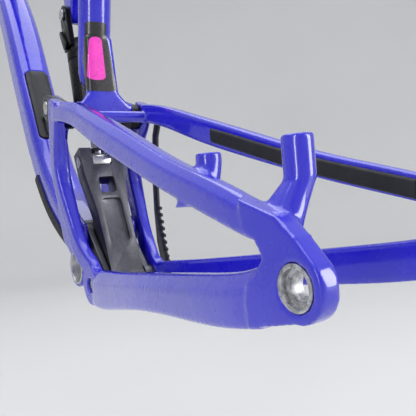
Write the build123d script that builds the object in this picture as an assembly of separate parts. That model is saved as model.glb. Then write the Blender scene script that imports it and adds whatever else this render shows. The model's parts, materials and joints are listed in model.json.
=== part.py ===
"""Full-suspension bicycle frame: front triangle, one-piece rear triangle, two links, shock and yoke.

Millimetres, +X forward, +Y to the rider's left, +Z up, origin at the centre of the bottom bracket.
"""

from build123d import *
import os
from math import cos, hypot, radians, sin

os.makedirs("parts", exist_ok=True)

# ---------------------------------------------------------------- driving dimensions
AXLE = (-434.5, 31.0)            # rear axle in the side view, X and Z
HUB_SPACING = 148.0              # between the inner faces of the dropouts
DROPOUT_THICKNESS = 11.0
DROPOUT_RADIUS = 15.5
AXLE_HOLE_RADIUS = 6.1
AXLE_SEAT_RADIUS = 10.4
STAY_START, STAY_END = -84.0, -397.0     # X where the chainstay leaves its root, and both stays reach the dropout
HANGER_THICKNESS = 5.5

LINK_PIVOT = (-10.0, 42.0)       # lower link on the front triangle
MAIN_PIVOT = (-60.0, -14.0)      # rear triangle and shock yoke on the lower link
ROCKER_PIVOT = (36.0, 195.0)     # upper links on the front triangle
TOP_PIVOT = (-28.0, 174.0)       # rear triangle on the upper links
ROCKER_SWEPT = (32.0, 150.0)     # where the rocker pivot has moved to, seen from the rear triangle, at full travel
SHOCK_TOP = (20.0, 306.0)        # shock bolt on the front triangle
SHOCK_EYE = (-8.0, 123.0)        # shock eye inside the yoke

BB_WIDTH = 73.0
BB_OUTER_RADIUS = 23.0
BB_THREAD_RADIUS = 16.85
BB_SLEEVE_RADIUS = 19.5

SEAT_ANGLE = 74.7
SEAT_REFERENCE = (3.9, 150.0)    # a point on the seat tube's axis
SEAT_TOP_Z = 400.0
SEAT_OUTER_RADIUS = 18.5
SEATPOST_RADIUS = 15.8
SEATPOST_DEPTH = 130.0
CLAMP_RADIUS = 22.5
CLAMP_ROOM = 19.5                # down from the top of the seat tube

HEAD_ANGLE = 65.5
HEAD_BOTTOM = (466.0, 520.0)
HEAD_LENGTH = 105.0
UPPER_CUP_RADIUS = 22.0
LOWER_CUP_RADIUS = 28.0
CUP_DEPTH = 15.0
TUBE_WALL = 3.0

LEG_INNER, LEG_OUTER = 26.5, 33.0        # distance from the middle plane
ROCKER_INNER, ROCKER_OUTER = 34.5, 44.5
FOOT_INNER, FOOT_OUTER = 30.5, 42.0
POST_RADIUS = 7.4
POST_TOP_Z = 96.0
POST_Y = 62.8
POST_SPACING = 74.2
REAR_POST_X = -419.5
POST_BORE_RADIUS = 2.5
POST_BORE_DEPTH = 18.0
PAD_HEIGHT = 13.5

CAN_RADIUS = 19.5
SHAFT_RADIUS = 6.5
GAP = 0.4                        # clearance between pieces that move past each other

# Stay sections: X, inner Y, outer Y, bottom Z, top Z
CHAINSTAY = [
    (-62, 31, 41.5, -33.5, -2),
    (-90, 31.4, 46, -34.5, 4),
    (-125, 34, 50, -30.5, 7),
    (-180, 41.5, 57, -21, 11.5),
    (-250, 51, 66, -10.5, 18),
    (-320, 60.5, 74.5, -3.5, 25),
    (-375, 69, 82, 3, 31),
    (-408, 75, 84.8, 9, 38),
]
SEATSTAY = [
    (-30, 40, 58.5, 168, 190),
    (-70, 40, 59.5, 159, 181.5),
    (-130, 43.5, 62.5, 138, 163),
    (-185, 48.5, 66.5, 117, 143),
    (-245, 54.5, 71, 97, 121),
    (-300, 61, 76, 79.5, 101),
    (-345, 67, 80, 66.5, 87),
    (-385, 72, 83.6, 55.5, 75),
    (-408, 75, 84.8, 49.5, 67),
]
# Upright sections: centre X, centre Z, width along the side view, inner Y, outer Y
UPRIGHT = [
    (-34, 190, 22, 45.5, 58.5),
    (-24, 166, 29, 45, 57.5),
    (-9, 141, 25, 38, 55.5),
    (-2, 117, 24, 36, 54),
    (-6, 91, 24, 35.5, 52.5),
    (-16, 64, 24, 35, 50),
    (-26, 40, 24, 34.5, 48),
    (-42, 16, 26, 32.5, 45),
    (-60, -10, 30, 30.5, 42),
]
# Down tube sections: centre X, centre Z, width across, depth in the side view
DOWN_TUBE = [
    (10, 12, 53, 44),
    (79, 50, 53, 54),
    (130, 82, 52, 58),
    (172, 122, 51, 58),
    (205, 174, 53, 61),
    (236, 234, 54, 62),
    (268, 296, 54, 62),
    (308, 375, 53, 60),
    (358, 450, 49, 56),
    (414, 523, 44, 53),
    (433, 552, 40, 50),
]
# Top tube sections, from the seat tube forwards
TOP_TUBE = [
    (-48, 352, 34, 66),
    (0, 372, 36, 54),
    (90, 413, 38, 44),
    (220, 482, 40, 42),
    (330, 543, 42, 44),
    (428, 594, 42, 40),
]

pieces = {}


# ---------------------------------------------------------------- helpers
def flat(outline, low, high):
    """Extrudes a side-view outline, drawn in X and Z, between two values of Y."""
    plane = Plane(origin=(0, high, 0), x_dir=(1, 0, 0), z_dir=(0, -1, 0))
    return extrude(plane * outline, amount=high - low, dir=(0, -1, 0))


def disc(centre, radius, low, high):
    return flat(Pos(*centre) * Circle(radius), low, high)


def rod(start, end, radius):
    """A round bar between two points in space."""
    line = Vector(*end) - Vector(*start)
    return extrude(Plane(origin=start, z_dir=line) * Circle(radius), amount=line.length)


def along(points):
    """Planes across a side-view path, with local x along Y and local y in the side view."""
    planes = []
    for i, (x, z, *_) in enumerate(points):
        before, after = points[max(i - 1, 0)], points[min(i + 1, len(points) - 1)]
        direction = (after[0] - before[0], 0, after[1] - before[1])
        planes.append(Plane(origin=(x, 0, z), x_dir=(0, 1, 0), z_dir=direction))
    return planes


def tube(points, shrink=0.0):
    """Lofts rounded sections (X, Z, width, depth) along a side-view path."""
    sections = []
    for plane, (_, _, width, depth) in zip(along(points), points):
        size = min(width, depth) - 2 * shrink
        sections.append(plane * RectangleRounded(width - 2 * shrink, depth - 2 * shrink, 0.36 * size))
    return loft(sections)


def stay(sections):
    """Lofts sections with a bevelled outer top edge across X into the left-hand stay."""
    faces = []
    for x, inner, outer, bottom, top in sections:
        width, height = outer - inner, top - bottom
        outline = Polygon(
            (inner, bottom), (outer, bottom), (outer, top - 0.32 * height), (outer - 0.4 * width, top), (inner, top),
            align=None,
        )
        plane = Plane(origin=(x, 0, 0), x_dir=(0, 1, 0), z_dir=(1, 0, 0))
        faces.append(plane * fillet(outline.vertices(), 0.2 * width))
    return loft(faces)


def mirrored(shape):
    return mirror(shape, about=Plane.XZ)


def both(name, shape):
    pieces["left_" + name] = shape
    pieces["right_" + name] = mirrored(shape)


def group(*shapes):
    return Compound([solid for shape in shapes for solid in shape.solids()])


def pair(shape):
    return group(shape, mirrored(shape))


def slab(start, end, radius_start, radius_end, low, high):
    """A plate that joins two round bosses, seen from the side."""
    outline = make_hull(
        (Pos(*start) * Circle(radius_start)).edges() + (Pos(*end) * Circle(radius_end)).edges()
    )
    return flat(outline, low, high)


def annulus(centre, outer, inner, low, high):
    return disc(centre, outer, low, high) - disc(centre, inner, low - 1, high + 1)


def seat_x(z):
    return SEAT_REFERENCE[0] - (z - SEAT_REFERENCE[1]) / TAN_SEAT


TAN_SEAT = sin(radians(SEAT_ANGLE)) / cos(radians(SEAT_ANGLE))
SEAT_DIRECTION = (-cos(radians(SEAT_ANGLE)), 0, sin(radians(SEAT_ANGLE)))
HEAD_DIRECTION = Vector(-cos(radians(HEAD_ANGLE)), 0, sin(radians(HEAD_ANGLE)))
SHOCK_LENGTH = hypot(SHOCK_TOP[0] - SHOCK_EYE[0], SHOCK_TOP[1] - SHOCK_EYE[1])
SHOCK_DOWN = Vector(SHOCK_EYE[0] - SHOCK_TOP[0], 0, SHOCK_EYE[1] - SHOCK_TOP[1]).normalized()


def on_shock(distance, y=0.0):
    """A point on the shock's axis, measured down from its top bolt."""
    point = Vector(SHOCK_TOP[0], y, SHOCK_TOP[1]) + SHOCK_DOWN * distance
    return point.X, point.Y, point.Z


def on_shock_rod(start, end, radius):
    return rod(on_shock(start), on_shock(end), radius)


# ---------------------------------------------------------------- rear triangle
def rear_triangle():
    inner, outer = HUB_SPACING / 2, HUB_SPACING / 2 + DROPOUT_THICKNESS
    web = Polygon(
        (AXLE[0] + 1, AXLE[1] - DROPOUT_RADIUS + 0.2), (-401, 8.6), (-400, 20), (-402, 31), (-409, 36), (-414.5, 42),
        (-410, 49.5), (-402, 55), (-400, 69), (-414, 64.5), (-425, 61), (-436, 52), (AXLE[0] - 12, AXLE[1] + 10),
        align=None,
    )
    plate = flat(Pos(*AXLE) * Circle(DROPOUT_RADIUS) + web, inner, outer)
    whole_chainstay, whole_seatstay = stay(CHAINSTAY), stay(SEATSTAY)
    dropout = plate + beyond(whole_chainstay, STAY_END) + beyond(whole_seatstay, STAY_END)
    dropout -= disc(AXLE, AXLE_SEAT_RADIUS, inner - 20, outer + 1)
    foot = disc(MAIN_PIVOT, 22, FOOT_INNER, FOOT_OUTER)
    bore = disc(MAIN_PIVOT, 12, FOOT_INNER - 1, FOOT_OUTER - 3)
    upright_faces = []
    for plane, (_, _, width, near, far) in zip(along(UPRIGHT), UPRIGHT):
        face = Pos((near + far) / 2, 0) * RectangleRounded(far - near, width, 0.3 * (far - near))
        upright_faces.append(plane * face)
    link_room = slab(TOP_PIVOT, ROCKER_SWEPT, 24, 19, 0, ROCKER_OUTER + GAP)
    foot_room = disc(MAIN_PIVOT, 25, 0, FOOT_INNER)
    top_hole = disc(TOP_PIVOT, 8.5, ROCKER_OUTER - 1, 56.5)
    chainstay = between(whole_chainstay, STAY_END, STAY_START)
    seatstay = beyond(whole_seatstay, STAY_END, keep_front=True) - link_room - top_hole
    root = beyond(whole_chainstay, STAY_START, keep_front=True) - foot_room
    upright = loft(upright_faces) + foot + root - foot_room - chainstay - seatstay - link_room - top_hole
    upright -= bore + disc(MAIN_PIVOT, 8, 0, 100)
    both("chainstay", chainstay)
    both("seatstay", keep_largest(seatstay))
    both("upright", keep_largest(upright))
    both("dropout", keep_largest(dropout))
    insert = annulus(AXLE, AXLE_SEAT_RADIUS, AXLE_HOLE_RADIUS, inner, outer)
    insert -= disc(AXLE, 8.2, outer - 3, outer + 1)
    both("axle_insert", insert)
    bridge = rod((-58, -41, 169), (-58, 41, 169), 6.5)
    pieces["seatstay_bridge"] = bridge - pieces["left_seatstay"] - pieces["right_seatstay"]
    pieces["main_pivot_bearings"] = pair(annulus(MAIN_PIVOT, 12, 7.53, FOOT_INNER + 0.5, FOOT_OUTER - 3))
    pieces["top_pivot_bearings"] = pair(annulus(TOP_PIVOT, 8.5, 5, 46, 54))


def beyond(shape, x, keep_front=False):
    """The part of a shape behind an upright plane across X, or the part in front of it."""
    return split(shape, Plane(origin=(x, 0, 0), z_dir=(1, 0, 0)), keep=Keep.TOP if keep_front else Keep.BOTTOM)


def between(shape, low, high):
    return beyond(beyond(shape, low, keep_front=True), high)


def keep_largest(shape):
    return max(shape.solids(), key=lambda solid: solid.volume)


def brake_posts():
    """Two vertical posts for the brake caliper, drilled for M6 threads."""
    for name, x, foot_x, foot_y, base in (
        ("rear_brake_post", REAR_POST_X, -411, 75.5, 52),
        ("front_brake_post", REAR_POST_X + POST_SPACING, REAR_POST_X + POST_SPACING + 3, 72, 66),
    ):
        neck = Plane.XY.offset(base + 24) * Pos(x, POST_Y) * RectangleRounded(
            2 * POST_RADIUS, 2 * POST_RADIUS, 0.94 * POST_RADIUS)
        column = extrude(neck, POST_TOP_Z - base - 24)
        root = loft([
            Plane.XY.offset(base) * Pos(foot_x, foot_y) * RectangleRounded(34, 15, 7),
            Plane.XY.offset(base + 12) * Pos((x + foot_x) / 2, (foot_y + POST_Y) / 2) * RectangleRounded(22, 17, 7.6),
            neck,
        ])
        hole = Pos(x, POST_Y, POST_TOP_Z - POST_BORE_DEPTH / 2) * Cylinder(POST_BORE_RADIUS, POST_BORE_DEPTH)
        post = column + root - pieces["left_seatstay"] - pieces["left_dropout"] - hole
        pieces[name] = keep_largest(post)


def rear_fittings():
    inner = HUB_SPACING / 2
    hanger_outline = make_hull(
        (Pos(*AXLE) * Circle(13)).edges() + (Pos(AXLE[0] - 8, AXLE[1] - 27) * Circle(8)).edges()
    )
    hanger = flat(hanger_outline, -inner - HANGER_THICKNESS, -inner)
    pieces["right_dropout"] = keep_largest(pieces["right_dropout"] - hanger)
    pieces["right_axle_insert"] = keep_largest(pieces["right_axle_insert"] - hanger)
    hanger -= disc(AXLE, AXLE_HOLE_RADIUS, -100, 0)
    hanger -= disc((AXLE[0] - 8, AXLE[1] - 27), 5, -100, 0)
    pieces["derailleur_hanger"] = hanger - pieces["right_chainstay"]
    hanger_bolt = annulus(AXLE, 9.2, AXLE_HOLE_RADIUS, -inner - DROPOUT_THICKNESS - 2.5, -inner - DROPOUT_THICKNESS)
    pieces["hanger_bolt"] = hanger_bolt
    pad_faces = []
    for x, near, _, bottom, top in SEATSTAY[3:8]:
        middle = bottom + 0.46 * (top - bottom)
        plane = Plane(origin=(x, 0, 0), x_dir=(0, 1, 0), z_dir=(1, 0, 0))
        pad_faces.append(plane * Pos(near - 0.4, middle) * RectangleRounded(5.2, PAD_HEIGHT, 2.4))
    pad = loft(pad_faces) - mirrored(pieces["right_seatstay"])
    pieces["seatstay_pad"] = keep_largest(mirrored(pad))


# ---------------------------------------------------------------- links
def links():
    arm = slab(LINK_PIVOT, MAIN_PIVOT, 10.8, 12.6, 20, 26)
    arm += disc(MAIN_PIVOT, 14, 20, FOOT_INNER - GAP)
    barrel = disc(LINK_PIVOT, 13, -26, 26)
    web = slab((-20, 33), (-29, 20), 4.5, 4.5, -20.5, 20.5)
    body = arm + mirrored(arm) + barrel + web
    body -= disc(LINK_PIVOT, 6, -40, 40)
    body -= disc(LINK_PIVOT, 11, 19, 27) + disc(LINK_PIVOT, 11, -27, -19)
    body -= disc(MAIN_PIVOT, 7.5, -60, 60)
    pieces["lower_link"] = body
    pieces["lower_link_bearings"] = pair(annulus(LINK_PIVOT, 11, 6, 19, 25.8))
    axle = disc(MAIN_PIVOT, 7.5, -FOOT_OUTER + 2.6, FOOT_OUTER - 2.6) - disc(MAIN_PIVOT, 3, -FOOT_OUTER, FOOT_OUTER)
    pieces["main_pivot_axle"] = axle
    cap = disc(LINK_PIVOT, 9.5, LEG_OUTER, LEG_OUTER + 1.4)
    pieces["lower_link_axle"] = group(disc(LINK_PIVOT, 5.97, -LEG_OUTER, LEG_OUTER) + cap + mirrored(cap))
    rocker = slab(ROCKER_PIVOT, TOP_PIVOT, 15.5, 14.5, ROCKER_INNER, ROCKER_OUTER)
    rocker -= disc(ROCKER_PIVOT, 9, 0, 100)
    rocker -= disc(TOP_PIVOT, 5, 0, 100)
    both("upper_link", rocker)
    pieces["upper_link_bearings"] = pair(annulus(ROCKER_PIVOT, 9, 5, ROCKER_INNER + 0.3, ROCKER_OUTER - 1))
    stud = disc(ROCKER_PIVOT, 4.97, LEG_INNER, ROCKER_OUTER - 0.5) + disc(ROCKER_PIVOT, 8, ROCKER_OUTER - 0.5, 46)
    pieces["upper_link_bolts"] = pair(stud)
    top_bolt = disc(TOP_PIVOT, 5, ROCKER_INNER + 1, ROCKER_OUTER) + disc(TOP_PIVOT, 2.7, ROCKER_OUTER, 53)
    pieces["top_pivot_bolts"] = pair(top_bolt)


# ---------------------------------------------------------------- shock and yoke
CAN_START, CAN_END = 46.0, 118.0


def shock():
    can = on_shock_rod(CAN_START, CAN_END, CAN_RADIUS) - on_shock_rod(CAN_START + 6, CAN_END + 1, CAN_RADIUS - 3)
    groove = on_shock_rod(CAN_START + 12, CAN_START + 14, CAN_RADIUS + 1)
    can -= groove - on_shock_rod(CAN_START, CAN_END, CAN_RADIUS - 0.8)
    pieces["shock_can"] = can
    seal = on_shock_rod(CAN_END - 7, CAN_END, CAN_RADIUS - 3) - on_shock_rod(CAN_END - 9, CAN_END + 2, SHAFT_RADIUS + 3.6)
    pieces["shock_seal_head"] = seal
    head = on_shock_rod(CAN_START - 12, CAN_START, CAN_RADIUS - 1.5)
    arm_plane = Plane(origin=on_shock(0), x_dir=(-SHOCK_DOWN.Z, 0, SHOCK_DOWN.X), z_dir=(0, 1, 0))
    arm_outline = make_hull(
        Circle(11).edges() + (Pos(0, CAN_START - 8) * Rectangle(24, 10)).edges()
    )
    arm = Pos(0, 13, 0) * extrude(arm_plane * arm_outline, 6)
    clevis = head + arm + mirrored(arm)
    clevis -= disc(SHOCK_TOP, 4, -40, 40)
    pieces["shock_clevis"] = clevis
    pieces["shock_top_bolt"] = disc(SHOCK_TOP, 3.97, -22, 22) + disc(SHOCK_TOP, 6.5, 19.1, 22) + disc(SHOCK_TOP, 6.5, -22, -19.1)
    valve_at = on_shock(CAN_START - 6)
    valve = rod(valve_at, (valve_at[0] + 26, 0, valve_at[2] + 4), 4) - head
    pieces["air_valve_cap"] = keep_largest(valve)
    shaft = on_shock_rod(CAN_END - 12, SHOCK_LENGTH - 9, SHAFT_RADIUS)
    shaft += on_shock_rod(CAN_END - 12.5, CAN_END - 8, CAN_RADIUS - 6.2)
    eye = disc(SHOCK_EYE, 11, -11, 11) - disc(SHOCK_EYE, 6, -12, 12)
    pieces["shock_shaft"] = shaft + eye - disc(SHOCK_EYE, 6, -12, 12)
    pieces["eye_bushing"] = annulus(SHOCK_EYE, 6, 4, -11, 11)
    pieces["bump_ring"] = on_shock_rod(SHOCK_LENGTH - 16, SHOCK_LENGTH - 12.5, 9.5) - on_shock_rod(0, 220, SHAFT_RADIUS)


def yoke():
    """The forged extender from the shock's eye down to the main pivot."""
    line = Vector(MAIN_PIVOT[0] - SHOCK_EYE[0], 0, MAIN_PIVOT[1] - SHOCK_EYE[1])
    down = line.normalized()
    front = Vector(-down.Z, 0, down.X)
    plane = Plane(origin=(SHOCK_EYE[0], 0, SHOCK_EYE[1]), x_dir=(0, 1, 0), z_dir=front)
    length = line.length
    outline = Polygon(
        (-25, 14), (25, 14), (25, -16), (22, -40), (19, -66), (18.5, -100), (18.5, -length), (-18.5, -length),
        (-18.5, -100), (-19, -66), (-22, -40), (-25, -16), align=None,
    )
    blank = extrude(plane * outline, 11, both=True)
    blank += disc(MAIN_PIVOT, 13, -18.5, 18.5)
    slot = disc(SHOCK_EYE, 13.5, -11.3, 11.3) + rod((SHOCK_EYE[0], 0, SHOCK_EYE[1]), on_shock(120), 13.5)
    window_at = Vector(SHOCK_EYE[0], 0, SHOCK_EYE[1]) + down * 34
    window = Plane(origin=(window_at.X, 0, window_at.Z), x_dir=(0, 1, 0), z_dir=front) * RectangleRounded(19, 20, 3)
    blank -= slot
    blank -= extrude(window, 30, both=True)
    pocket_at = Vector(SHOCK_EYE[0], 0, SHOCK_EYE[1]) + down * 78
    for side in (-1, 1):
        pocket = Plane(
            origin=(pocket_at.X + side * 12 * front.X, 0, pocket_at.Z + side * 12 * front.Z),
            x_dir=(0, 1, 0), z_dir=front,
        ) * RectangleRounded(24, 54, 5)
        blank -= extrude(pocket, 5.5, both=True)
    blank -= disc(SHOCK_EYE, 4, -40, 40)
    blank -= disc(MAIN_PIVOT, 7.53, -40, 40)
    pieces["shock_yoke"] = keep_largest(blank)
    heads = disc(SHOCK_EYE, 6.5, 25, 26.1)
    pieces["yoke_bolt"] = disc(SHOCK_EYE, 4, -25, 25) + heads + mirrored(heads)


rear_triangle()
brake_posts()
rear_fittings()
links()
shock()
yoke()


# ---------------------------------------------------------------- front triangle
def front_triangle():
    shell = disc((0, 0), BB_OUTER_RADIUS, -BB_WIDTH / 2, BB_WIDTH / 2)
    sleeve = annulus((0, 0), BB_SLEEVE_RADIUS, BB_THREAD_RADIUS, -BB_WIDTH / 2, BB_WIDTH / 2)
    bb_bore = disc((0, 0), BB_SLEEVE_RADIUS, -50, 50)
    pieces["bb_shell"] = shell - bb_bore
    pieces["bb_sleeve"] = sleeve

    leg_outline = Polygon(
        (-27, 27), (-27, 50), (-5, 62), (15, 78), (25, 100), (26, 138), (14, 162), (-12, 173), (-46, 174),
        (-46, 188), (-5, 190), (22, 205), (40, 213), (54, 205), (60, 180), (62, 110), (66, 64), (52, 30),
        (20, 8), (-18, 8), align=None,
    )
    leg_sketch = fillet(leg_outline.vertices(), 6)
    leg = flat(leg_sketch, LEG_INNER, LEG_OUTER)
    leg -= disc((0, 0), BB_OUTER_RADIUS, 0, 60)
    leg -= disc(LINK_PIVOT, 6, 0, 60)
    leg -= disc(ROCKER_PIVOT, 5, 0, 60)

    seat_top = Vector(seat_x(SEAT_TOP_Z), 0, SEAT_TOP_Z)
    seat_low = Vector(seat_x(196), 0, 196)
    seat = rod(tuple(seat_low), tuple(seat_top), SEAT_OUTER_RADIUS)
    crown = Pos(-40, 0, 181) * Box(12, 2 * LEG_INNER, 14)
    crown += loft([
        Plane.XY.offset(188) * Pos(-40, 0) * RectangleRounded(12, 2 * LEG_INNER - 1, 2),
        Plane.XY.offset(199) * Pos(-38, 0) * RectangleRounded(14, 37, 5),
        Plane.XY.offset(262) * Pos(seat_x(262) - 7, 0) * RectangleRounded(22, 32, 6),
    ], ruled=True)
    seat += crown
    bore_bottom = seat_top - Vector(*SEAT_DIRECTION) * SEATPOST_DEPTH
    seat -= rod(tuple(bore_bottom), tuple(seat_top + Vector(*SEAT_DIRECTION) * 5), SEATPOST_RADIUS)
    for turn in (0, 2.5, 5, 7.5):
        swing = Rot(0, turn, 0)
        sweep = on_shock_rod(CAN_START - 14, CAN_END + 60, CAN_RADIUS + 1.2)
        pivot = Pos(SHOCK_TOP[0], 0, SHOCK_TOP[1])
        seat -= pivot * swing * pivot.inverse() * sweep

    outer = tube(DOWN_TUBE)
    hollow = tube(DOWN_TUBE, TUBE_WALL)
    head_plane = Plane(origin=(HEAD_BOTTOM[0], 0, HEAD_BOTTOM[1]), z_dir=HEAD_DIRECTION)
    head = loft([
        head_plane * Circle(33),
        head_plane.offset(22) * Circle(32),
        head_plane.offset(70) * Circle(27),
        head_plane.offset(HEAD_LENGTH) * Circle(27),
    ])
    head_core = extrude(head_plane.offset(-1) * Circle(20), HEAD_LENGTH + 2)
    lower_seat = extrude(head_plane * Circle(LOWER_CUP_RADIUS + 1.5), CUP_DEPTH)
    upper_seat = extrude(head_plane.offset(HEAD_LENGTH - CUP_DEPTH) * Circle(UPPER_CUP_RADIUS + 1.5), CUP_DEPTH)
    pieces["lower_headset_seat"] = lower_seat - extrude(head_plane.offset(-1) * Circle(LOWER_CUP_RADIUS), CUP_DEPTH + 2)
    pieces["upper_headset_seat"] = upper_seat - extrude(
        head_plane.offset(HEAD_LENGTH - CUP_DEPTH - 1) * Circle(UPPER_CUP_RADIUS), CUP_DEPTH + 2)
    pieces["head_tube"] = head - head_core - lower_seat - upper_seat

    top_outer, top_hollow = tube(TOP_TUBE), tube(TOP_TUBE, TUBE_WALL)
    seat_solid = rod(tuple(seat_low), tuple(seat_top), SEAT_OUTER_RADIUS)
    top = top_outer - top_hollow - seat_solid - head
    top -= rod(tuple(seat_top), tuple(seat_top + Vector(*SEAT_DIRECTION) * 60), 40)
    top -= rod(tuple(seat_top - Vector(*SEAT_DIRECTION) * CLAMP_ROOM), tuple(seat_top), CLAMP_RADIUS + 0.6)
    pieces["top_tube"] = keep_largest(top)

    down = outer - shell - head - top_outer
    down -= keep_inside(hollow, (60, 430))
    for half in (leg, mirrored(leg)):
        down -= half
    down -= rod((-60, 0, 30), (8, 0, 60), 20)
    pieces["seat_tube"] = keep_largest(seat - top_outer + (seat & top_outer))
    hatch_and_latch(down, hollow)
    both("tunnel_leg", keep_largest(leg))

    tab_outline = make_hull(
        (Pos(*SHOCK_TOP) * Circle(10)).edges() + (Pos(14, 352) * Rectangle(44, 8)).edges()
    )
    tab = flat(tab_outline, -12.6, 12.6) - top_outer - disc(SHOCK_TOP, 4, -20, 20) - seat_solid
    pieces["shock_mount"] = keep_largest(tab)


def keep_inside(shape, limits):
    """The part of a shape whose X lies between two limits."""
    low, high = limits
    return shape & Pos((low + high) / 2, 0, 300) * Box(high - low, 200, 900)


HATCH_MIDDLE = Vector(229.3, 0, 221)
HATCH_LENGTH, HATCH_WIDTH = 128.0, 35.0
HATCH_ALONG = Vector(DOWN_TUBE[6][0] - DOWN_TUBE[4][0], 0, DOWN_TUBE[6][1] - DOWN_TUBE[4][1]).normalized()
HATCH_OUT = Vector(-HATCH_ALONG.Z, 0, HATCH_ALONG.X)
SURFACE = 31.0                   # from the down tube's centre line to its upper face


def on_hatch(along_tube, out):
    """A side-view point, measured up the down tube from the hatch's middle and out of its face."""
    point = HATCH_MIDDLE + HATCH_ALONG * along_tube + HATCH_OUT * out
    return point.X, point.Z


def hatch_and_latch(down, hollow):
    plane = Plane(origin=tuple(HATCH_MIDDLE), x_dir=(0, 1, 0), z_dir=HATCH_OUT)
    window = extrude(plane * Pos(0, 0.5) * RectangleRounded(HATCH_WIDTH, HATCH_LENGTH + 1, 9), 60)
    door = extrude(plane * RectangleRounded(HATCH_WIDTH - 2 * GAP, HATCH_LENGTH - 2 * GAP, 8.6), 60)
    lid = keep_largest((door & tube(DOWN_TUBE, -1.0)) - hollow)
    pin_at, tip = on_hatch(-30, SURFACE + 4.6), on_hatch(-56, SURFACE + 3.4)
    ear = slab(pin_at, on_hatch(-30, SURFACE), 2.6, 3.4, 7.3, 9.5)
    lid += ear + mirrored(ear)
    lid -= disc(pin_at, 1.25, -20, 20)
    pieces["storage_hatch"] = keep_largest(lid)
    pieces["hatch_latch"] = slab(pin_at, tip, 2.3, 1.7, -7, 7) - disc(pin_at, 1.25, -20, 20)
    pieces["hatch_latch_pin"] = disc(pin_at, 1.2, -9.5, 9.5)
    oval = flat(Pos(372, 470) * Rot(0, 0, 54) * SlotOverall(24, 11), 5, 60)
    port = keep_largest((oval & tube(DOWN_TUBE, -1.2)) - hollow)
    port -= flat(Pos(372, 470) * Rot(0, 0, 54) * SlotOverall(15, 5), 5, 60)
    pieces["cable_ports"] = pair(port)
    down -= oval
    down -= mirrored(oval)
    pieces["down_tube"] = keep_largest(down - window)
    below = Polygon((60, 30), (79, 46), (130, 78), (166, 112), (176, 124), (235, 90), (120, 0), (75, -20), align=None)
    guard = (tube(DOWN_TUBE, -2.6) & flat(below, -40, 40)) - tube(DOWN_TUBE)
    pieces["down_tube_guard"] = keep_largest(guard)


def seat_fittings():
    clamp_at = Vector(seat_x(SEAT_TOP_Z), 0, SEAT_TOP_Z) - Vector(*SEAT_DIRECTION) * 11
    plane = Plane(origin=tuple(clamp_at), x_dir=(0, 1, 0), z_dir=SEAT_DIRECTION)
    collar = extrude(plane * Circle(CLAMP_RADIUS), 8, both=True)
    collar += extrude(plane * Pos(0, 24) * RectangleRounded(19, 15, 3), 7, both=True)
    collar -= extrude(plane * Circle(SEAT_OUTER_RADIUS), 20, both=True)
    collar -= extrude(plane * Pos(0, 27) * Rectangle(2, 20), 20, both=True)
    bolt_at = plane.from_local_coords(Vector(0, 27, 0))
    centre = (bolt_at.X, bolt_at.Z)
    collar -= disc(centre, 2.6, -20, 20)
    pieces["seat_clamp"] = collar
    pieces["seat_clamp_bolt"] = disc(centre, 2.55, -9.5, 9.5) + disc(centre, 4.2, 9.5, 13.5) + disc(centre, 4, -12.5, -9.5)


def drive_side_guard():
    """A slim moulded guard that stands clear of the right-hand upright, toothed along its lower rear edge."""
    strip = Polygon(
        (-58, 166), (-46, 169), (-36, 150), (-27, 100), (-24, 60), (-25, 20), (-34, -12), (-48, -24), (-66, -22),
        (-62, -8), (-48, 0), (-40, 24), (-35, 60), (-38, 100), (-47, 148), align=None,
    )
    body = flat(fillet(strip.vertices(), 2), -63, -60)
    for i in range(9):
        height = 62 - 8.2 * i
        body += Pos(-36.5 - 0.055 * i * i - 0.9 * i, -61.5, height) * Rot(0, -8 - 3 * i, 0) * Box(8, 3, 3.6)
    screw_top = (-50, 163)
    pieces["drive_side_guard"] = keep_largest(body)
    spacer = keep_largest(disc(MAIN_PIVOT, 10, -60, -FOOT_OUTER) - pieces["right_upright"])
    heads = [disc(MAIN_PIVOT, 4.5, -65, -63), disc(screw_top, 4.5, -65, -63)]
    pieces["guard_fixings"] = group(spacer, *heads)


def shock_controls():
    at = on_shock(CAN_START - 6)
    tip = on_shock(CAN_START - 24)
    lever = slab((at[0], at[2]), (tip[0] + 9, tip[2]), 5, 3, 19.5, 22.5)
    pieces["lockout_lever"] = lever
    front = Vector(SHOCK_EYE[0], 0, SHOCK_EYE[1])
    out = Vector(0.935, 0, -0.355)
    start, end = front + out * 11.6, front + out * 16.5
    pieces["rebound_dial"] = rod(tuple(start), tuple(end), 6)


front_triangle()
seat_fittings()
drive_side_guard()
shock_controls()

for name, shape in pieces.items():
    export_step(shape, f"parts/{name}.step")
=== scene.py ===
"""Looks for the bicycle frame: continuous painted skins, machined and moulded details,
materials, lights and camera."""

import json
import math

import bmesh
import bpy
from mathutils import Matrix, Vector

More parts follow.
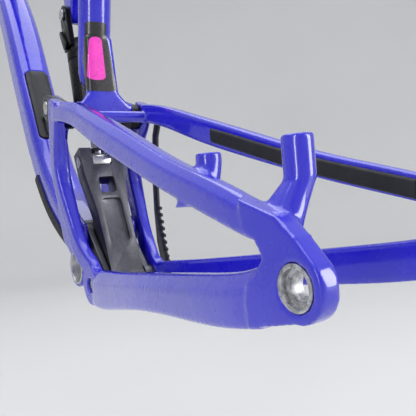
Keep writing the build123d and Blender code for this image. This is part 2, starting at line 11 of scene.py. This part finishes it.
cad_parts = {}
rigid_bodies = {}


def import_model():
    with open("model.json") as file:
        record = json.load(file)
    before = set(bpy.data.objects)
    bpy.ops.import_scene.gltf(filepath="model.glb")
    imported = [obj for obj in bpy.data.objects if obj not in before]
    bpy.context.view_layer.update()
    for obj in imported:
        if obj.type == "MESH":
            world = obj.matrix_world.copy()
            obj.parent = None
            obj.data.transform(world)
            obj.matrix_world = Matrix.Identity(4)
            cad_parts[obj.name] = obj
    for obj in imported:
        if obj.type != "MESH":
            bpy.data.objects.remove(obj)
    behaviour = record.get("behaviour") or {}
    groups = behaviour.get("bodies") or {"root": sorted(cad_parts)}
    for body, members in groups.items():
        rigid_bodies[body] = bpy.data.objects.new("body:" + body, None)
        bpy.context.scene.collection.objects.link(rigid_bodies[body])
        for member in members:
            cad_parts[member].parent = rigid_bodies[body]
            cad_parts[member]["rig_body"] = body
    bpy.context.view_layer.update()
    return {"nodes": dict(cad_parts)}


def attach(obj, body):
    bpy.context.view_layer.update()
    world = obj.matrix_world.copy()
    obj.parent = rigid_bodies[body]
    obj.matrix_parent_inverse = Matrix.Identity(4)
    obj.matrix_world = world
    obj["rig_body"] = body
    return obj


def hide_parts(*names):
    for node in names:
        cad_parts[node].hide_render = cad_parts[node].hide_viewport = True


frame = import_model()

NODES = frame["nodes"]
SCENE = bpy.context.scene
SCENE.view_settings.view_transform = "Standard"


# ---------------------------------------------------------------- material helpers
class Material:
    """A node material with one Principled shader and shorthand for the textures that drive it."""

    def __init__(self, name, **values):
        self.material = bpy.data.materials.new(name)
        self.material.use_nodes = True
        self.tree = self.material.node_tree
        self.shader = self.tree.nodes["Principled BSDF"]
        for key, value in values.items():
            self.shader.inputs[key.replace("_", " ")].default_value = value
        self.place = self.tree.nodes.new("ShaderNodeTexCoord").outputs["Object"]

    def node(self, kind, **settings):
        made = self.tree.nodes.new(kind)
        for key, value in settings.items():
            setattr(made, key, value)
        return made

    def link(self, source, target):
        self.tree.links.new(source, target)
        return target

    def noise(self, scale, detail=3.0, roughness=0.55, stretch=(1, 1, 1)):
        mapping = self.node("ShaderNodeMapping")
        mapping.inputs["Scale"].default_value = stretch
        self.link(self.place, mapping.inputs["Vector"])
        made = self.node("ShaderNodeTexNoise")
        made.inputs["Scale"].default_value = scale
        made.inputs["Detail"].default_value = detail
        made.inputs["Roughness"].default_value = roughness
        self.link(mapping.outputs["Vector"], made.inputs["Vector"])
        return made.outputs["Fac"]

    def ramp(self, source, *stops):
        made = self.node("ShaderNodeValToRGB")
        elements = made.color_ramp.elements
        while len(elements) < len(stops):
            elements.new(0.5)
        for element, (at, colour) in zip(elements, stops):
            element.position = at
            element.color = (*colour, 1)
        self.link(source, made.inputs["Fac"])
        return made.outputs["Color"]

    def spread(self, source, low, high, start=0.3, end=0.7):
        made = self.node("ShaderNodeMapRange")
        for key, value in (("From Min", start), ("From Max", end), ("To Min", low), ("To Max", high)):
            made.inputs[key].default_value = value
        self.link(source, made.inputs["Value"])
        return made.outputs["Result"]

    def mix(self, factor, first, second, blend="MIX"):
        made = self.node("ShaderNodeMix", data_type="RGBA", blend_type=blend)
        self.link(factor, made.inputs["Factor"])
        self.link(first, made.inputs["A"])
        self.link(second, made.inputs["B"])
        return made.outputs["Result"]

    def bump(self, source, distance, strength=1.0, under=None):
        made = self.node("ShaderNodeBump")
        made.inputs["Strength"].default_value = strength
        made.inputs["Distance"].default_value = distance
        self.link(source, made.inputs["Height"])
        if under is not None:
            self.link(under, made.inputs["Normal"])
        return made.outputs["Normal"]

    def edges(self):
        """High on convex edges, where finishes rub thin."""
        point = self.node("ShaderNodeNewGeometry").outputs["Pointiness"]
        return self.spread(point, 0.0, 1.0, 0.52, 0.60)

    def colour(self, source):
        self.link(source, self.shader.inputs["Base Color"])

    def roughness(self, source):
        self.link(source, self.shader.inputs["Roughness"])

    def normal(self, source):
        self.link(source, self.shader.inputs["Normal"])


def gloss_paint():
    m = Material("gloss_ultramarine", Coat_Weight=1.0, Coat_Roughness=0.035, Coat_IOR=1.5, Metallic=0.0)
    broad = m.ramp(m.noise(9, 2), (0.3, (0.008, 0.006, 0.46)), (0.7, (0.013, 0.009, 0.56)))
    flake = m.ramp(m.noise(2600, 1), (0.35, (0.006, 0.005, 0.38)), (0.65, (0.020, 0.014, 0.68)))
    m.colour(m.mix(m.spread(m.noise(30, 2), 0.10, 0.22), broad, flake))
    m.roughness(m.spread(m.noise(55, 4), 0.20, 0.32))
    m.normal(m.bump(m.noise(420, 2), 0.00005, 0.10))
    return m.material


def moulded(name, dark, light, rough, grain):
    """Matt rubber or plastic with a fine moulded grain, paler where it has been rubbed."""
    m = Material(name, Specular_IOR_Level=0.4)
    body = m.ramp(m.noise(60, 5), (0.3, dark), (0.75, light))
    rubbed = m.ramp(m.noise(300), (0.2, light), (0.9, tuple(2.2 * c for c in light)))
    m.colour(m.mix(m.edges(), body, rubbed))
    m.roughness(m.spread(m.noise(140, 4), rough - 0.08, rough + 0.10))
    m.normal(m.bump(m.noise(grain, 3), 0.00012, 0.35))
    return m.material


def metal(name, dark, light, rough, grain=700, stretch=(1, 1, 1), bump=0.00003):
    """Metal with a fine surface grain, small stains and bright rubbed edges."""
    m = Material(name, Metallic=1.0)
    body = m.ramp(m.noise(grain, 4, 0.6, stretch), (0.25, dark), (0.75, light))
    stains = m.ramp(m.noise(400), (0.3, tuple(0.45 * c for c in dark)), (0.7, dark))
    stained = m.mix(m.spread(m.noise(90, 5), 0.0, 0.5, 0.52, 0.72), body, stains)
    rubbed = m.ramp(m.noise(500), (0.2, light), (0.8, tuple(min(1.0, 1.4 * c) for c in light)))
    m.colour(m.mix(m.edges(), stained, rubbed))
    m.roughness(m.spread(m.noise(grain / 3, 4), rough - 0.07, rough + 0.10))
    m.normal(m.bump(m.noise(grain, 2, 0.5, stretch), bump, 0.5))
    return m.material


AXLE_BACK, AXLE_HEIGHT = 0.4345, 0.031


def turned_aluminium():
    """Lathe-cut aluminium: fine rings round each axle hole, with paint mist and handling marks."""
    m = Material("turned_aluminium", Metallic=1.0)
    shifted = m.node("ShaderNodeMapping")
    shifted.inputs["Location"].default_value = (AXLE_BACK, 0.0, -AXLE_HEIGHT)
    m.link(m.place, shifted.inputs["Vector"])
    rings = m.node("ShaderNodeTexWave", wave_type="RINGS", rings_direction="Y")
    for key, value in (("Scale", 380.0), ("Distortion", 0.6), ("Detail", 2.0), ("Detail Scale", 2.0)):
        rings.inputs[key].default_value = value
    m.link(shifted.outputs["Vector"], rings.inputs["Vector"])
    clean = m.ramp(m.noise(260, 5), (0.3, (0.34, 0.34, 0.35)), (0.7, (0.72, 0.72, 0.74)))
    marks = m.ramp(m.noise(900, 4), (0.3, (0.10, 0.11, 0.14)), (0.7, (0.30, 0.31, 0.36)))
    m.colour(m.mix(m.spread(m.noise(330, 6, 0.7), 0.0, 0.85, 0.48, 0.62), clean, marks))
    m.roughness(m.spread(m.noise(420, 5), 0.26, 0.55))
    m.normal(m.bump(rings.outputs["Fac"], 0.00004, 0.5, under=m.bump(m.noise(700, 3), 0.00008, 0.5)))
    return m.material


def vinyl(name, colour, rough):
    m = Material(name, Coat_Weight=0.5, Coat_Roughness=0.12)
    m.colour(m.ramp(m.noise(70, 3), (0.3, tuple(0.86 * c for c in colour)), (0.7, colour)))
    m.roughness(m.spread(m.noise(200, 3), rough - 0.05, rough + 0.08))
    m.normal(m.bump(m.noise(900, 2), 0.00003, 0.2))
    return m.material


PAINT = gloss_paint()
RUBBER = moulded("matt_rubber", (0.006, 0.007, 0.009), (0.014, 0.015, 0.018), 0.62, 900)
PLASTIC = moulded("black_plastic", (0.008, 0.008, 0.010), (0.018, 0.018, 0.021), 0.42, 1500)
ANODISED = metal("grey_anodised", (0.085, 0.086, 0.098), (0.155, 0.155, 0.170), 0.38)
BLACK_METAL = metal("black_anodised", (0.012, 0.012, 0.014), (0.030, 0.030, 0.034), 0.30)
STEEL = metal("bright_steel", (0.42, 0.42, 0.43), (0.66, 0.66, 0.67), 0.28, 900)
BRONZE = metal("bronze", (0.38, 0.20, 0.10), (0.62, 0.36, 0.20), 0.34, 900)
ALUMINIUM = turned_aluminium()
PLAIN_ALUMINIUM = metal("machined_aluminium", (0.40, 0.40, 0.41), (0.66, 0.66, 0.68), 0.32, 500, (1, 12, 1))
DECAL_BLACK = vinyl("decal_black", (0.010, 0.009, 0.012), 0.30)
DECAL_PINK = vinyl("decal_pink", (0.90, 0.045, 0.52), 0.28)


# ---------------------------------------------------------------- shapes
WELD_DISTANCE = 2e-6
SAME_PLANE = math.radians(0.6)
SHARP_EDGE = math.radians(32)
SHADING_EDGE = math.radians(35)
BEVEL_SEGMENTS = 2


def joined_copy(name, nodes):
    """One new mesh object that holds copies of several CAD nodes, welded."""
    bm = bmesh.new()
    for node in nodes:
        bm.from_mesh(NODES[node].data)
    bmesh.ops.remove_doubles(bm, verts=bm.verts, dist=WELD_DISTANCE)
    mesh = bpy.data.meshes.new(name)
    bm.to_mesh(mesh)
    bm.free()
    mesh.materials.clear()
    for attribute in [a for a in mesh.attributes if a.name == "custom_normal"]:
        mesh.attributes.remove(attribute)
    made = bpy.data.objects.new(name, mesh)
    SCENE.collection.objects.link(made)
    return made


def applied(obj):
    """Swaps the object's mesh for its result after modifiers."""
    bpy.context.view_layer.update()
    graph = bpy.context.evaluated_depsgraph_get()
    mesh = bpy.data.meshes.new_from_object(obj.evaluated_get(graph))
    obj.modifiers.clear()
    obj.data = mesh
    return obj


def finish_piece(obj, body, material, nodes):
    obj.data.materials.clear()
    obj.data.materials.append(material)
    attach(obj, body)
    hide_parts(*nodes)
    return obj


def skin(name, body, nodes, voxel, rounds):
    """One continuous painted surface over several CAD nodes, with softened edges."""
    made = joined_copy(name, nodes)
    remesh = made.modifiers.new("remesh", "REMESH")
    remesh.mode = "VOXEL"
    remesh.voxel_size = voxel
    smooth = made.modifiers.new("smooth", "SMOOTH")
    smooth.factor = 0.5
    smooth.iterations = rounds
    applied(made)
    made.data.shade_smooth()
    return finish_piece(made, body, PAINT, nodes)


def edged(node, width, material):
    """A CAD node's shape with its sharp edges broken by a small round."""
    made = joined_copy(node + "_finished", [node])
    bm = bmesh.new()
    bm.from_mesh(made.data)
    bmesh.ops.dissolve_limit(bm, angle_limit=SAME_PLANE, verts=bm.verts, edges=bm.edges)
    sharp = [e for e in bm.edges if len(e.link_faces) == 2 and e.calc_face_angle(0) > SHARP_EDGE]
    bmesh.ops.bevel(
        bm, geom=sharp, offset=width, segments=BEVEL_SEGMENTS, profile=0.5, affect="EDGES", clamp_overlap=True
    )
    bm.to_mesh(made.data)
    bm.free()
    made.data.shade_smooth()
    made.data.set_sharp_from_angle(angle=SHADING_EDGE)
    body = NODES[node]["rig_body"]
    return finish_piece(made, body, material, [node])


REAR_PAINTED = [
    side + part for side in ("left_", "right_") for part in ("chainstay", "seatstay", "upright", "dropout")
] + ["seatstay_bridge", "rear_brake_post", "front_brake_post"]
FRONT_PAINTED = [
    "head_tube", "top_tube", "down_tube", "seat_tube",
    "left_tunnel_leg", "right_tunnel_leg", "bb_shell", "shock_mount",
]
coarse = 1.0
skin("rear_triangle_skin", "rear_triangle", REAR_PAINTED, 0.0010 * coarse, 14)
FRONT_SKIN = skin("front_triangle_skin", "front_triangle", FRONT_PAINTED, 0.0015 * coarse, 10)

EDGED = {
    "shock_yoke": (0.0011, ANODISED, "dark_anodised"),
    "lower_link": (0.0010, ANODISED, "dark_anodised"),
    "left_upper_link": (0.0012, BLACK_METAL, "dark_anodised"),
    "right_upper_link": (0.0012, BLACK_METAL, "dark_anodised"),
    "shock_can": (0.0008, BLACK_METAL, "dark_anodised"),
    "shock_clevis": (0.0009, BLACK_METAL, "dark_anodised"),
    "shock_seal_head": (0.0005, BLACK_METAL, "dark_anodised"),
    "seat_clamp": (0.0007, BLACK_METAL, "dark_anodised"),
    "derailleur_hanger": (0.0006, BLACK_METAL, "dark_anodised"),
    "lockout_lever": (0.0006, BLACK_METAL, "dark_anodised"),
    "rebound_dial": (0.0005, BRONZE, "bronze"),
    "left_axle_insert": (0.0004, ALUMINIUM, "bare_aluminium"),
    "right_axle_insert": (0.0004, ALUMINIUM, "bare_aluminium"),
    "bb_sleeve": (0.0005, PLAIN_ALUMINIUM, "bare_aluminium"),
    "upper_headset_seat": (0.0005, PLAIN_ALUMINIUM, "bare_aluminium"),
    "lower_headset_seat": (0.0005, PLAIN_ALUMINIUM, "bare_aluminium"),
    "main_pivot_axle": (0.0006, STEEL, "steel"),
    "lower_link_axle": (0.0006, STEEL, "steel"),
    "upper_link_bolts": (0.0006, STEEL, "steel"),
    "shock_top_bolt": (0.0006, STEEL, "steel"),
    "seat_clamp_bolt": (0.0004, STEEL, "steel"),
    "yoke_bolt": (0.0006, STEEL, "steel"),
    "hanger_bolt": (0.0005, STEEL, "steel"),
    "guard_fixings": (0.0005, STEEL, "steel"),
    "shock_shaft": (0.0005, STEEL, "steel"),
    "air_valve_cap": (0.0006, PLASTIC, "black_plastic"),
    "hatch_latch": (0.0006, PLASTIC, "black_plastic"),
    "storage_hatch": (0.0008, PLASTIC, "black_plastic"),
    "cable_ports": (0.0006, RUBBER, "rubber"),
    "seatstay_pad": (0.0010, RUBBER, "rubber"),
    "down_tube_guard": (0.0008, RUBBER, "rubber"),
    "drive_side_guard": (0.0005, PLASTIC, "black_plastic"),
    "bump_ring": (0.0008, RUBBER, "rubber"),
}
for node, (width, material, slot) in EDGED.items():
    edged(node, width, material)

PLAIN = {
    "lower_link_bearings": STEEL,
    "main_pivot_bearings": STEEL,
    "top_pivot_bearings": BRONZE,
    "top_pivot_bolts": STEEL,
    "eye_bushing": BRONZE,
    "hatch_latch_pin": STEEL,
}
for node, material in PLAIN.items():
    NODES[node].data.materials.clear()
    NODES[node].data.materials.append(material)


# ---------------------------------------------------------------- seat tube decal
SEAT_FOOT = Vector((0.0039, 0.0, 0.150))
SEAT_ANGLE = math.radians(74.7)
SEAT_AXIS = Vector((-math.cos(SEAT_ANGLE), 0, math.sin(SEAT_ANGLE)))
SEAT_BACK = Vector((-SEAT_AXIS.z, 0, SEAT_AXIS.x))
SEAT_TUBE_RADIUS = 0.0185
DECAL_TURN = math.radians(15)
RAY_START, RAY_LENGTH = 0.06, 0.055    # the start is measured out from the tube's centre line


def seat_decal(name, low, high, half_angle, lift, rounding, material):
    """A vinyl patch with round corners laid on the painted back of the seat tube.

    It runs from low to high along the tube, and half_angle to each side of its middle.
    """
    columns, rows = 24, 60
    bm = bmesh.new()
    grid = []
    half_width = half_angle * SEAT_TUBE_RADIUS
    for i in range(rows + 1):
        t = low + (high - low) * i / rows
        edge = min(t - low, high - t)
        inset = 0.0
        if edge < rounding:
            inset = rounding - math.sqrt(max(rounding ** 2 - (rounding - edge) ** 2, 0.0))
        width = half_width - inset
        line = []
        for j in range(columns + 1):
            angle = (2 * j / columns - 1) * width / SEAT_TUBE_RADIUS + DECAL_TURN
            out = SEAT_BACK * math.cos(angle) + Vector((0, 1, 0)) * math.sin(angle)
            middle = SEAT_FOOT + SEAT_AXIS * t
            hit, place, _, _ = FRONT_SKIN.ray_cast(middle + out * RAY_START, -out, distance=RAY_LENGTH)
            if not hit:
                place = middle + out * SEAT_TUBE_RADIUS
            line.append(bm.verts.new(place + out * lift))
        grid.append(line)
    for first, second in zip(grid, grid[1:]):
        for j in range(columns):
            bm.faces.new((first[j], first[j + 1], second[j + 1], second[j]))
    bmesh.ops.recalc_face_normals(bm, faces=bm.faces)
    mesh = bpy.data.meshes.new(name)
    bm.to_mesh(mesh)
    bm.free()
    mesh.shade_smooth()
    made = bpy.data.objects.new(name, mesh)
    SCENE.collection.objects.link(made)
    mesh.materials.append(material)
    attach(made, "front_triangle")


seat_decal("seat_tube_panel", 0.061, 0.136, 0.70, 0.0003, 0.004, DECAL_BLACK)
seat_decal("seat_tube_bar", 0.073, 0.120, 0.35, 0.0006, 0.005, DECAL_PINK)


# ---------------------------------------------------------------- stage, lights and camera
FLOOR = -0.34
FLOOR_RADIUS, CURVE_RADIUS, RIM = 2.4, 1.0, 2.9
SIDES, CURVE_STEPS = 96, 12


def backdrop():
    """A pale studio cove all round: a flat floor that curves up into a wall."""
    profile = [(0.0, 0.0), (0.8, 0.0), (1.6, 0.0), (FLOOR_RADIUS, 0.0)]
    for step in range(1, CURVE_STEPS + 1):
        angle = step * math.pi / (2 * CURVE_STEPS)
        radius = FLOOR_RADIUS + CURVE_RADIUS * math.sin(angle)
        profile.append((radius, CURVE_RADIUS * (1.0 - math.cos(angle))))
    profile += [(FLOOR_RADIUS + CURVE_RADIUS, height) for height in (1.5, 2.2, RIM)]
    bm = bmesh.new()
    centre = bm.verts.new((0, 0, FLOOR))
    turns = [2 * math.pi * k / SIDES for k in range(SIDES)]
    rings = []
    for radius, height in profile[1:]:
        places = [(radius * math.cos(t), radius * math.sin(t), FLOOR + height) for t in turns]
        rings.append([bm.verts.new(place) for place in places])
    for k in range(SIDES):
        bm.faces.new((centre, rings[0][k], rings[0][(k + 1) % SIDES]))
    for inner, outer in zip(rings, rings[1:]):
        for k in range(SIDES):
            n = (k + 1) % SIDES
            bm.faces.new((inner[k], outer[k], outer[n], inner[n]))
    mesh = bpy.data.meshes.new("backdrop")
    bm.to_mesh(mesh)
    bm.free()
    mesh.shade_smooth()
    made = bpy.data.objects.new("backdrop", mesh)
    SCENE.collection.objects.link(made)
    m = Material("pale_paper", Specular_IOR_Level=0.1)
    m.colour(m.ramp(m.noise(0.8, 2), (0.3, (0.60, 0.60, 0.605)), (0.7, (0.64, 0.64, 0.64))))
    m.roughness(m.spread(m.noise(3, 2), 0.8, 0.95))
    mesh.materials.append(m.material)


def softbox(name, place, target, width, height, power):
    data = bpy.data.lights.new(name, "AREA")
    data.shape = "RECTANGLE"
    data.size, data.size_y = width, height
    data.energy = power
    made = bpy.data.objects.new(name, data)
    SCENE.collection.objects.link(made)
    made.location = place
    made.rotation_mode = "QUATERNION"
    made.rotation_quaternion = (Vector(target) - Vector(place)).to_track_quat("-Z", "Y")


backdrop()
softbox("overhead", (0.1, 0.1, 2.3), (0, 0, 0), 2.6, 2.6, 48)
softbox("window_right", (-2.1, -1.75, 0.75), (-0.35, 0, 0.1), 0.9, 1.7, 34)
softbox("window_left", (-1.35, 2.1, 0.7), (-0.3, 0, 0.1), 0.35, 1.6, 16)

world = bpy.data.worlds.new("studio")
SCENE.world = world
world.use_nodes = True
world.node_tree.nodes["Background"].inputs["Color"].default_value = (0.92, 0.95, 1.0, 1)
world.node_tree.nodes["Background"].inputs["Strength"].default_value = 0.75

YAW, PITCH, ROLL = math.radians(-32.6), math.radians(-1.3), math.radians(-4.7)
CAMERA_AT = Vector((-0.5890, 0.2218, 0.0711))
LENS, SENSOR = 43.7625, 36.0
ahead = Vector((math.cos(YAW) * math.cos(PITCH), math.sin(YAW) * math.cos(PITCH), math.sin(PITCH)))
level = ahead.cross(Vector((0, 0, 1))).normalized()
upward = level.cross(ahead)
right = level * math.cos(ROLL) + upward * math.sin(ROLL)
up = -level * math.sin(ROLL) + upward * math.cos(ROLL)
camera_data = bpy.data.cameras.new("camera")
camera_data.sensor_width = SENSOR
camera_data.lens = LENS
camera_data.clip_start = 0.01
camera = bpy.data.objects.new("camera", camera_data)
SCENE.collection.objects.link(camera)
camera.matrix_world = Matrix.Translation(CAMERA_AT) @ Matrix((right, up, -ahead)).transposed().to_4x4()
SCENE.camera = camera
